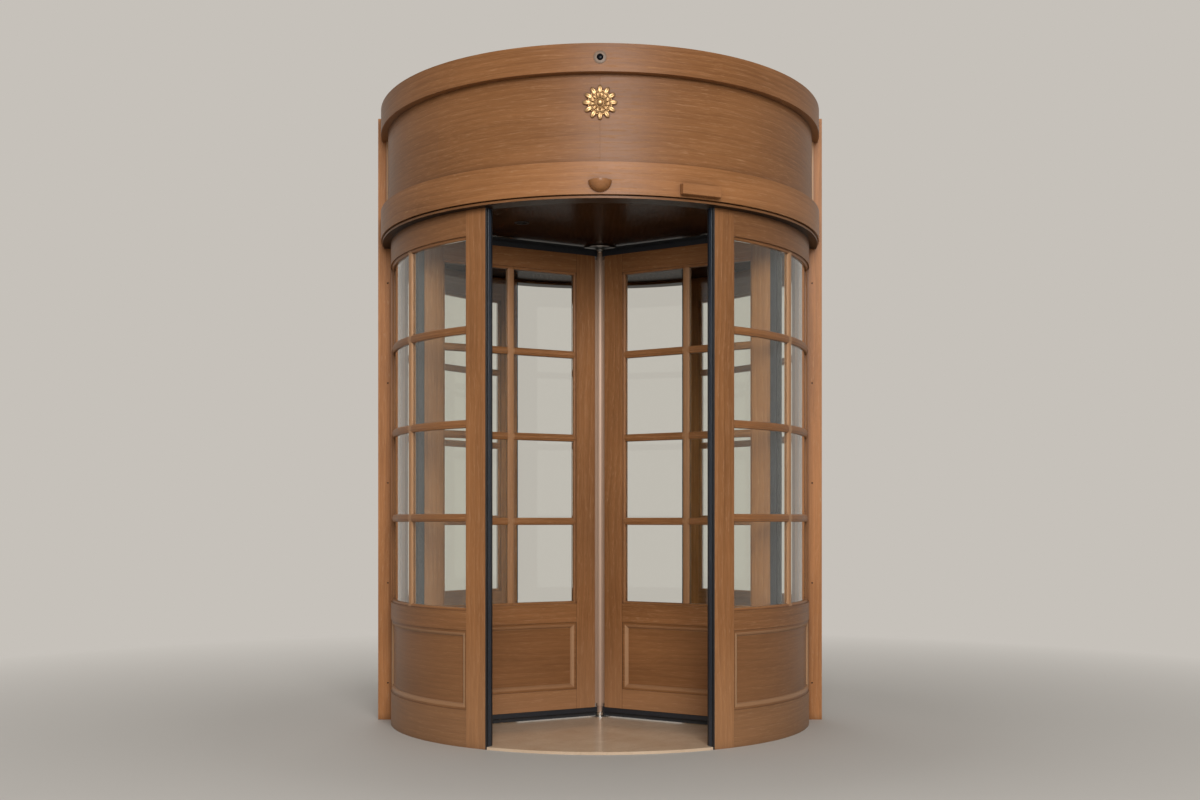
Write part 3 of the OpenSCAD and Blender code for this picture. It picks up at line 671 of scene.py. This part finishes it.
brass = {
    "colours": (screen(186, 146, 104), screen(202, 168, 122)), "cloud": 45.0, "roughness": (0.32, 0.46),
    "dirtAndShade": screen(70, 44, 20), "shadeAndDirtAmount": 0.85, "creaseReach": 0.012, "pitting": 300.0, "bump": 0.0002,
}


def agedBrass():
    material, tree, shader = newMaterial("agedBrass")
    place = objectPlace(tree)
    cloud = noise(tree, place, brass["cloud"], detail=4)
    # dirt and painted shade darken the hollows of the carving
    colour = useGroup(tree, creaseShadeAndDirt, {
        "Color": mixColour(tree, cloud, *brass["colours"]),
        "Crease": openSky(tree, brass["creaseReach"]), "Amount": brass["shadeAndDirtAmount"], "Shade And Dirt": brass["dirtAndShade"]})
    fillInputs(tree, shader, {"Base Color": colour["Color"], "Metallic": 1.0,
                              "Roughness": overClouds(tree, cloud, brass["roughness"])})
    finishSurface(tree, shader, noise(tree, place, brass["pitting"]), brass["bump"])
    return material


metalLines = {"fine": 900.0, "spread": 0.16, "bump": 0.00015, "cloud": 6.0, "dull": 0.86}
metals = {
    "satinPost": {"colour": screen(188, 158, 136), "base": 0.42, "edge": 0.001, "metallic": 0.45},
    "bearingSteel": {"colour": screen(200, 198, 195), "base": 0.22, "edge": 0.001, "levelLines": True},
    "darkRose": {"colour": screen(52, 44, 38), "base": 0.28, "edge": 0.001, "levelLines": True},
    "blackenedSteel": {"colour": screen(58, 50, 45), "base": 0.35},
    "polishedCollar": {"colour": screen(226, 222, 216), "base": 0.1},
}


def brushedMetal(name):
    # the lines run up, or level from side to side
    look = metals[name]
    material, tree, shader = newMaterial(name)
    place = objectPlace(tree)
    if "levelLines" in look:
        axes = axesOf(tree, place)
        place = vectorOf(tree, axes[2], axes[1], axes[0])
    lines = useGroup(tree, brushedLines, {"Vector": place, "Fine": metalLines["fine"], "Base": look["base"],
                                          "Spread": metalLines["spread"]})
    cloud = noise(tree, objectPlace(tree), metalLines["cloud"], detail=3)
    colour = mixColour(tree, cloud, toned(look["colour"], metalLines["dull"]), look["colour"])
    fillInputs(tree, shader, {"Base Color": colour, "Roughness": lines["Roughness"],
                              "Metallic": look.get("metallic", 1.0)})
    finishSurface(tree, shader, lines["Height"], metalLines["bump"], look.get("edge", 0.0))
    return material


stone = {
    "colours": (screen(208, 180, 151), screen(220, 195, 167)), "cloud": 3.5,
    "vein": screen(158, 128, 98), "veinScale": 4.0, "veinWidth": 0.03, "veinShare": 0.14,
    "speck": screen(150, 122, 94), "speckScale": 140.0, "speckRange": (0.62, 0.72), "speckShare": 0.25,
    "roughness": (0.13, 0.2), "specular": 0.3, "bump": 0.0001, "edge": 0.001,
}


def creamStone():
    # polished limestone with soft clouds, faint veins and small fossils
    material, tree, shader = newMaterial("creamStone")
    place = objectPlace(tree)
    clouds = noise(tree, place, stone["cloud"], detail=5, roughness=0.6)
    veins = noise(tree, shifted(tree, place, clouds), stone["veinScale"], detail=5, roughness=0.55)
    veins = maths(tree, "ABSOLUTE", maths(tree, "SUBTRACT", veins, 0.5))
    veins = mapRange(tree, veins, 0.0, stone["veinWidth"], stone["veinShare"], 0.0)
    specks = mapRange(tree, noise(tree, place, stone["speckScale"]), *stone["speckRange"])
    colour = mixColour(tree, overClouds(tree, clouds, (0.0, 1.0)), *stone["colours"])
    colour = mixColour(tree, veins, colour, stone["vein"])
    colour = mixColour(tree, times(tree, specks, stone["speckShare"]), colour, stone["speck"])
    fillInputs(tree, shader, {"Base Color": colour, "Roughness": overClouds(tree, clouds, stone["roughness"]),
                              "Specular IOR Level": stone["specular"]})
    finishSurface(tree, shader, specks, stone["bump"], stone["edge"])
    return material


def dress(material, *starts):
    # on each node whose name starts with one of these
    for name, node in nodes.items():
        if not name.startswith(starts):
            continue
        if not node.material_slots:
            node.data.materials.append(material)
        for slot in node.material_slots:
            slot.material = material


dress(drumOak("stileOak", "uprightGrain"), "wall_end_stiles", "wall_post_stiles")
dress(drumOak("railOak"), "wall_top_rails", "wall_lock_rails", "wall_bottom_rails")
dress(barOak(), "glazing_bars")
dress(panelOak(), "wall_panels")
dress(drumOak("lowBandOak"), "canopy_low_band")
dress(drumOak("topBandOak"), "canopy_top_band")
dress(friezeOak(), "canopy_frieze")
dress(shadedSoffitOak(), "soffit_ring")
dress(postOak(), "wall_post_left", "wall_post_right")
for letter in wingLetters:
    dress(wingOak(letter), "wing_frame_" + letter)
    dress(wingPanelOak(letter), "wing_panel_" + letter)
dress(sensorOak(), "sensor_domes", "sensor_bars")
dress(roofBoard(), "canopy_roof")
dress(clearGlass(), "wall_glass", "wing_glass")
dress(rubberStrip(), "edge_strips")
dress(plainFinish("sealProfile"), "wing_seal")
dress(ceilingGloss(), "ceiling_disc")
dress(brushedMetal("satinPost"), "centre_post")
dress(brushedMetal("bearingSteel"), "floor_bearing")
dress(brushedMetal("darkRose"), "ceiling_rose")
dress(creamStone(), "floor_disc")
print("finishes: " + str(len(bpy.data.materials)) + " materials")


# Fine pieces

smoothUnder = math.radians(35)  # an edge that turns more than this stays sharp


def addObject(name, data):
    item = bpy.data.objects.new(name, data)
    bpy.context.scene.collection.objects.link(item)
    return item


def addMesh(name, mesh, material):
    data = bpy.data.meshes.new(name)
    mesh.to_mesh(data)
    mesh.free()
    data.materials.append(material)
    return addObject(name, data)


def finishPiece(mesh, name, material, body="enclosure", boxes=False):
    # plain boxes stay flat, and they already face outwards
    if not boxes:
        bmesh.ops.recalc_face_normals(mesh, faces=mesh.faces[:])
    piece = addMesh(name, mesh, material)
    if not boxes:
        piece.data.shade_smooth()
        piece.data.set_sharp_from_angle(angle=smoothUnder)
    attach(piece, body)
    return piece


def spunRing(mesh, points, centre=(0, 0, 0), steps=64):
    # turns a closed section, given as radius and height, round an upright axis
    start = [mesh.verts.new((centre[0] + radius, centre[1], centre[2] + height)) for radius, height in points]
    edges = [mesh.edges.new((start[i], start[(i + 1) % len(start)])) for i in range(len(start))]
    bmesh.ops.spin(mesh, geom=start + edges, cent=centre, axis=(0, 0, 1), dvec=(0, 0, 0), angle=fullTurn,
                   steps=steps, use_merge=True, use_duplicate=False)
    bmesh.ops.remove_doubles(mesh, verts=mesh.verts[:], dist=1e-6)


def roundSection(radius, height, tube, count):
    turns = [fullTurn * k / count for k in range(count)]
    return [(radius + tube * math.cos(turn), height + tube * math.sin(turn)) for turn in turns]


def addDisc(mesh, place, depth, radius, topRadius=None, segments=24):
    return bmesh.ops.create_cone(mesh, cap_ends=True, segments=segments, radius1=radius,
                                 radius2=topRadius or radius, depth=depth, matrix=place)["verts"]


def cutFlat(mesh, level):
    # keeps what is above a level and closes it there
    bmesh.ops.bisect_plane(mesh, geom=mesh.verts[:] + mesh.edges[:] + mesh.faces[:], plane_co=(0, 0, level),
                           plane_no=(0, 0, 1), clear_inner=True)
    bmesh.ops.edgeloop_fill(mesh, edges=[edge for edge in mesh.edges if edge.is_boundary])


screwHead = {"radius": 0.0046, "sunk": 0.002, "thickness": 0.004, "rimShare": 0.45, "recess": 0.0016}


def addScrewHead(mesh, centre, face):
    # a disc with a round recess for the driver
    turned = Matrix.Translation(centre) @ Matrix.Rotation(-face * quarterTurn, 4, "X")
    made = addDisc(mesh, turned, screwHead["thickness"], screwHead["radius"])
    outward = Vector((0, face, 0))
    faces = {item for vertex in made for item in vertex.link_faces}
    front = [item for item in faces if len(item.verts) > 4 and item.normal.dot(outward) > 0.9]
    bmesh.ops.inset_region(mesh, faces=front, thickness=screwHead["radius"] * screwHead["rimShare"])
    bmesh.ops.translate(mesh, verts=front[0].verts[:], vec=-outward * screwHead["recess"])


def buildScrews():
    # a dark screw head, sunk in each hole of the wall posts, on both faces
    mesh = bmesh.new()
    for mount in frame["record"]["mounts"]:
        if mount["kind"] != "bolt_pattern":
            continue
        place = Vector(mount["pos_m"])
        acrossHalf = mount["dims"]["spacing_x_mm"] * millimetre / 2
        upHalf = mount["dims"].get("spacing_y_mm", 0) * millimetre / 2
        out = abs(place.y) - screwHead["sunk"] - screwHead["thickness"] / 2
        for side in (-1, 1):
            for level in sorted({-upHalf, upHalf}):
                for face in (-1, 1):
                    addScrewHead(mesh, Vector((side * acrossHalf, face * out, place.z + level)), face)
    finishPiece(mesh, "screwHeads", blackMetal)


lensShape = {"glassShare": 0.5, "ringDepth": 0.004, "lip": 0.001, "outerShare": 0.3, "slopeShare": 1.5,
             "innerShare": 0.7}


def buildLens():
    # a dished ring round a dark dome
    low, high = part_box("lens")
    outer = (high.x - low.x) / 2
    inner = outer * lensShape["glassShare"]
    depth = lensShape["ringDepth"]
    centre = Vector((0, high.y, (low.z + high.z) / 2))
    turned = Matrix.Translation(centre) @ Matrix.Rotation(quarterTurn, 4, "X")
    ring = bmesh.new()
    spunRing(ring, [(inner, 0), (outer, 0), (outer, depth * lensShape["outerShare"]),
                    (outer - depth * lensShape["slopeShare"], depth), (inner + lensShape["lip"], depth),
                    (inner, depth * lensShape["innerShare"])])
    bmesh.ops.transform(ring, matrix=turned, verts=ring.verts[:])
    rim = finishPiece(ring, "lensRing", plainFinish("lensRingPaint"))
    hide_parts("lens")
    glass = bmesh.new()
    bmesh.ops.create_uvsphere(glass, u_segments=40, v_segments=20, radius=inner)
    cutFlat(glass, 0)
    bmesh.ops.scale(glass, vec=(1, 1, (high.y - low.y) / inner), verts=glass.verts[:])
    bmesh.ops.transform(glass, matrix=turned, verts=glass.verts[:])
    finishPiece(glass, "lensDome", plainFinish("lensGlass"))


downlight = {"lampRadius": 0.022, "lampDepth": 0.004, "steps": 4, "wall": 0.003, "trimEdge": 0.0015,
             "tubeGap": 0.0003, "pinhole": 0.0005}


def baffleSection(outer, tube, low, top):
    # up the tube's outside, over its top, and down the steps of the baffle to the trim
    lampZ, lampRadius, edge = top - downlight["wall"], downlight["lampRadius"], downlight["trimEdge"]
    rise = (lampZ - low) / downlight["steps"]
    run = (tube - downlight["wall"] - lampRadius) / downlight["steps"]
    section = [(outer, low + edge), (outer, ceilingZ), (tube, ceilingZ), (tube, top),
               (downlight["pinhole"], top), (downlight["pinhole"], lampZ), (lampRadius, lampZ)]
    for step in range(downlight["steps"]):
        radius = lampRadius + run * (step + 1)
        section.append((radius, lampZ - rise * step))
        section.append((radius, lampZ - rise * (step + 1)))
    section.append((outer - edge, low))
    return section


def buildDownlights():
    # a stepped black baffle round a frosted lamp, one over each mouth
    low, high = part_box("downlights")
    rims = bmesh.new()
    lamps = bmesh.new()
    for face in (-1, 1):
        points = [vertex.co for vertex in nodes["downlights"].data.vertices if vertex.co.y * face > 0]
        xs, ys = [point.x for point in points], [point.y for point in points]
        centre = Vector(((min(xs) + max(xs)) / 2, (min(ys) + max(ys)) / 2, 0))
        outer = (max(xs) - min(xs)) / 2
        bore = [reach(vertex.co - centre) for vertex in nodes["ceiling_disc"].data.vertices]
        tube = max(radius for radius in bore if radius < outer) - downlight["tubeGap"]
        spunRing(rims, baffleSection(outer, tube, low.z, high.z), centre=centre)
        lampZ = high.z - downlight["wall"] - downlight["lampDepth"] / 2
        addDisc(lamps, Matrix.Translation(centre + Vector((0, 0, lampZ))), downlight["lampDepth"],
                downlight["lampRadius"], segments=48)
    trim = finishPiece(rims, "downlightRims", plainFinish("blackTrim"))
    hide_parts("downlights")
    finishPiece(lamps, "downlightLamps", plainFinish("frostedLamp"))


# lengths across the rosette are shares of its radius, heights over its back are metres
rosetteShape = {
    "plate": {"radius": 0.72, "top": 0.68, "thick": 0.008},
    "petals": 12,
    "petalDepth": 0.011,
    "petalBase": 0.004,
    "petalTilt": 0.12,
    "rows": [
        {"place": 0.70, "length": 0.30, "width": 0.155, "shift": 0.0, "lift": 1.0},
        {"place": 0.44, "length": 0.23, "width": 0.105, "shift": 0.5, "lift": 1.25},
    ],
    "creaseDepth": 0.0035,
    "creaseShare": 0.28,
    "beads": {"count": 24, "place": 0.27, "radius": 0.034, "height": 0.012},
    "boss": {"radius": 0.2, "height": 0.011, "rise": 0.012},
    "ring": {"radius": 0.335, "height": 0.010, "tube": 0.0038},
    "backCut": 0.0004,
}


def addPetals(mesh, outer, row):
    base = rosetteShape["petalBase"]
    for index in range(rosetteShape["petals"]):
        turn = (index + row["shift"]) * fullTurn / rosetteShape["petals"]
        halfWidth = outer * row["width"]
        centre = (outer * row["place"], 0, base * row["lift"])
        size = (outer * row["length"], halfWidth, rosetteShape["petalDepth"] * row["lift"], 1)
        shape = (Matrix.Rotation(turn, 4, "Z") @ Matrix.Translation(centre)
                 @ Matrix.Rotation(-rosetteShape["petalTilt"], 4, "Y") @ Matrix.Diagonal(size))
        made = bmesh.ops.create_icosphere(mesh, subdivisions=3, radius=1.0, matrix=shape)
        for vertex in made["verts"]:
            # a crease down the middle of each petal
            offMiddle = (Matrix.Rotation(-turn, 4, "Z") @ vertex.co).y
            if vertex.co.z > base:
                spread = offMiddle / (halfWidth * rosetteShape["creaseShare"])
                vertex.co.z -= rosetteShape["creaseDepth"] * math.exp(-spread ** 2)


def buildRosette():
    # two rows of petals, a beaded ring and a boss, bent to the frieze
    low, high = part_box("rosette")
    outer = (high.x - low.x) / 2
    backY = max(vertex.co.y for vertex in nodes["rosette"].data.vertices if abs(vertex.co.x) < 0.01)
    plate, beads, boss, ring = (rosetteShape[name] for name in ("plate", "beads", "boss", "ring"))
    mesh = bmesh.new()
    addDisc(mesh, Matrix.Translation((0, 0, plate["thick"] / 2)), plate["thick"], outer * plate["radius"],
            outer * plate["top"], segments=96)
    for row in rosetteShape["rows"]:
        addPetals(mesh, outer, row)
    for index in range(beads["count"]):
        turn = index * fullTurn / beads["count"]
        radius = outer * beads["place"]
        centre = (radius * math.cos(turn), radius * math.sin(turn), beads["height"])
        bmesh.ops.create_uvsphere(mesh, u_segments=12, v_segments=8, radius=outer * beads["radius"],
                                  matrix=Matrix.Translation(centre))
    size = (outer * boss["radius"], outer * boss["radius"], boss["rise"], 1)
    bossPlace = Matrix.Translation((0, 0, boss["height"])) @ Matrix.Diagonal(size)
    bmesh.ops.create_uvsphere(mesh, u_segments=32, v_segments=16, radius=1.0, matrix=bossPlace)
    spunRing(mesh, roundSection(outer * ring["radius"], ring["height"], ring["tube"], 8), steps=96)
    cutFlat(mesh, rosetteShape["backCut"])
    centre = (0, 0, (low.z + high.z) / 2)
    turned = Matrix.Translation(centre) @ Matrix.Rotation(quarterTurn, 4, "X")
    bmesh.ops.transform(mesh, matrix=turned, verts=mesh.verts[:])
    for vertex in mesh.verts:
        vertex.co.y -= math.sqrt(backY ** 2 - vertex.co.x ** 2)
    piece = finishPiece(mesh, "rosetteCarved", agedBrass())
    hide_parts("rosette")


collars = {"inner": 0.0215, "radius": 0.031, "clearance": 0.0012, "height": 0.024, "edge": 0.002}


def buildCollars():
    # bright turned collars on the shaft over the floor bearing and under the ceiling's cover
    mesh = bmesh.new()
    inner, radius, edge = collars["inner"], collars["radius"], collars["edge"]
    for base in (bearingTop + collars["clearance"], roseLow - collars["clearance"] - collars["height"]):
        top = base + collars["height"]
        spunRing(mesh, [(inner, base), (radius - edge, base), (radius, base + edge), (radius, top - edge),
                        (radius - edge, top), (inner, top)])
    finishPiece(mesh, "shaftCollars", chromeLook, body="rotor")


roseRimTube = 0.0022


def buildRoseRim():
    # a thin bright ring round the lower edge of the ceiling's cover
    low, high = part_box("ceiling_rose")
    mesh = bmesh.new()
    spunRing(mesh, roundSection(high.x, low.z, roseRimTube, 10), steps=96)
    finishPiece(mesh, "roseRim", chromeLook)


plateScrews = {"count": 4, "floorRing": 0.045, "ceilingRing": 0.078, "radius": 0.0042, "rise": 0.0006}


def buildPlateScrews():
    # flat heads in the floor bearing and in the ceiling's cover
    mesh = bmesh.new()
    for index in range(plateScrews["count"]):
        turn = (index + 0.5) * fullTurn / plateScrews["count"]
        for ring, level in ((plateScrews["floorRing"], bearingTop), (plateScrews["ceilingRing"], roseLow)):
            centre = (ring * math.cos(turn), ring * math.sin(turn), level)
            addDisc(mesh, Matrix.Translation(centre), 2 * plateScrews["rise"], plateScrews["radius"])
    finishPiece(mesh, "plateScrews", blackMetal)


bristles = {"seed": 7, "pitch": 0.0034, "thick": 0.0022, "proud": 0.0006, "uneven": 0.0009, "longer": 0.0026,
            "profileOver": 0.004, "sameEnd": 0.0005}


def buildBristles(letter, dice):
    # tufts over the wing's brush, a little uneven at their tips
    turn, along = wings[letter]["turn"], wings[letter]["along"]
    across = Vector((-along.y, along.x, 0))
    vertices = nodes["wing_seal_" + letter].data.vertices
    points = [(vertex.co.dot(along), vertex.co.dot(across), vertex.co.z) for vertex in vertices]
    same = bristles["sameEnd"]
    outEnd = max(point[0] for point in points)
    low, high = min(point[2] for point in points), max(point[2] for point in points)
    tip = [point for point in points if point[0] > outEnd - same]
    half = max(abs(point[1]) for point in tip) + bristles["proud"]
    startAlong = min(point[0] for point in points if point[2] < low + same)
    stepAlong = min(point[0] for point in points if point[2] > high - same)
    hubHigh = max(point[2] for point in points if point[0] < stepAlong - same)
    fat = [point for point in points if abs(point[1]) > half + bristles["profileOver"]]
    profileLow, profileHigh = min(point[2] for point in fat), max(point[2] for point in fat)
    profileEnd = max(point[0] for point in fat)
    mesh = bmesh.new()

    def tipShift():
        # how far a tuft ends short of the solid brush's end, less than nothing where it is longer
        return dice.uniform(-0.2, 1) * bristles["uneven"] - bristles["longer"]

    def tuft(centreAlong, centreUp, sizeAlong, sizeUp):
        matrix = (Matrix.Rotation(turn, 4, "Z") @ Matrix.Translation((centreAlong, 0, centreUp))
                  @ Matrix.Diagonal((sizeAlong, 2 * half, sizeUp, 1)))
        bmesh.ops.create_cube(mesh, size=1.0, matrix=matrix)

    for index in range(int((outEnd - startAlong) / bristles["pitch"])):
        place = startAlong + (index + 0.5) * bristles["pitch"]
        lowTip = low + tipShift()
        tuft(place, (lowTip + profileLow) / 2, bristles["thick"], profileLow - lowTip)
        highTip = (high if place > stepAlong else hubHigh) - tipShift()
        tuft(place, (highTip + profileHigh) / 2, bristles["thick"], highTip - profileHigh)
    for index in range(int((high - low) / bristles["pitch"])):
        place = low + (index + 0.5) * bristles["pitch"]
        outTip = outEnd - tipShift()
        tuft((outTip + profileEnd) / 2, place, outTip - profileEnd, bristles["thick"])
    finishPiece(mesh, "brushTufts_" + letter, bristleLook, body="rotor", boxes=True)


blackMetal = brushedMetal("blackenedSteel")
chromeLook = brushedMetal("polishedCollar")
bristleLook = plainFinish("bristles")

buildScrews()
buildLens()
buildDownlights()
buildRosette()
buildCollars()
buildRoseRim()
buildPlateScrews()
dice = random.Random(bristles["seed"])
for letter in wingLetters:
    buildBristles(letter, dice)
print("fine pieces made")


# Floor, light and camera

studio = {
    "floorSize": 60.0,
    "floorColour": screen(196, 191, 184),
    "floorRoughness": 0.7,
    "backdrop": screen(198, 193, 186),
    "fadeFrom": 2.2,
    "fadeTo": 6.5,
    "skyColour": (1.0, 0.98, 0.95, 1),
    "skyStrength": 0.15,
}
studioLamps = {
    "keyLight": {"place": (1.0, -9.4, 5.0), "target": (0, 0, 2.0), "size": 4.6, "power": 640.0},
    "fillLight": {"place": (-4.4, -8.0, 3.2), "target": (0, 0, 1.6), "size": 5.0, "power": 36.0},
    "rearLight": {"place": (-2.5, 8.0, 5.0), "target": (0, 0, 1.9), "size": 7.0, "power": 200.0},
    "topLight": {"place": (0.0, 1.0, 8.0), "target": (0, 0, 3.0), "size": 5.0, "power": 110.0},
}
cameraSetup = {"place": (0.0, -8.15, 1.225), "lens": 39.3, "sensor": 36.0, "shiftUp": 0.101}


def seenRay(tree):
    # 1 where the camera sees a thing itself, or in metal or through glass
    rays = addNode(tree, "LightPath", {}).outputs
    mirrored = maths(tree, "MAXIMUM", rays["Is Glossy Ray"], rays["Is Transmission Ray"])
    return maths(tree, "MAXIMUM", rays["Is Camera Ray"], mirrored)


def buildFloor():
    # far from the door the floor runs into the backdrop without a horizon
    material, tree, shader = newMaterial("paleFloor")
    fillInputs(tree, shader, {"Base Color": studio["floorColour"], "Roughness": studio["floorRoughness"]})
    far = addNode(tree, "VectorMath", {0: objectPlace(tree)}, operation="LENGTH").outputs["Value"]
    far = mapRange(tree, far, studio["fadeFrom"], studio["fadeTo"])
    plain = addNode(tree, "Emission", {"Color": studio["backdrop"], "Strength": 1.0})
    fade = times(tree, far, seenRay(tree))
    fillInputs(tree, tree.nodes["Material Output"], {"Surface": mixShader(tree, fade, shader, plain)})
    mesh = bmesh.new()
    bmesh.ops.create_grid(mesh, x_segments=1, y_segments=1, size=studio["floorSize"] / 2)
    addMesh("studioFloor", mesh, material)


def buildLamps():
    # only the key light is mirrored in what shines
    for name, look in studioLamps.items():
        data = bpy.data.lights.new(name, "AREA")
        data.shape = "DISK"
        data.size = look["size"]
        data.energy = look["power"]
        lamp = addObject(name, data)
        lamp.location = look["place"]
        aim = Vector(look["target"]) - Vector(look["place"])
        lamp.rotation_euler = aim.to_track_quat("-Z", "Y").to_euler()
        lamp.visible_transmission = False
        lamp.visible_glossy = name == "keyLight"


def buildWorld():
    world = bpy.data.worlds.new("studioWorld")
    bpy.context.scene.world = world
    world.use_nodes = True
    tree = world.node_tree
    tree.nodes.clear()
    sky = addNode(tree, "Background", {"Color": studio["skyColour"], "Strength": studio["skyStrength"]})
    plain = addNode(tree, "Background", {"Color": studio["backdrop"], "Strength": 1.0})
    addNode(tree, "OutputWorld", {"Surface": mixShader(tree, seenRay(tree), sky, plain)})


def buildCamera():
    data = bpy.data.cameras.new("camera")
    data.lens = cameraSetup["lens"]
    data.sensor_width = cameraSetup["sensor"]
    data.shift_y = cameraSetup["shiftUp"]
    camera = addObject("camera", data)
    camera.location = cameraSetup["place"]
    camera.rotation_euler = (quarterTurn, 0, 0)
    bpy.context.scene.camera = camera


buildFloor()
buildLamps()
buildWorld()
buildCamera()
bpy.context.scene.view_settings.view_transform = "Standard"
print("studio ready")
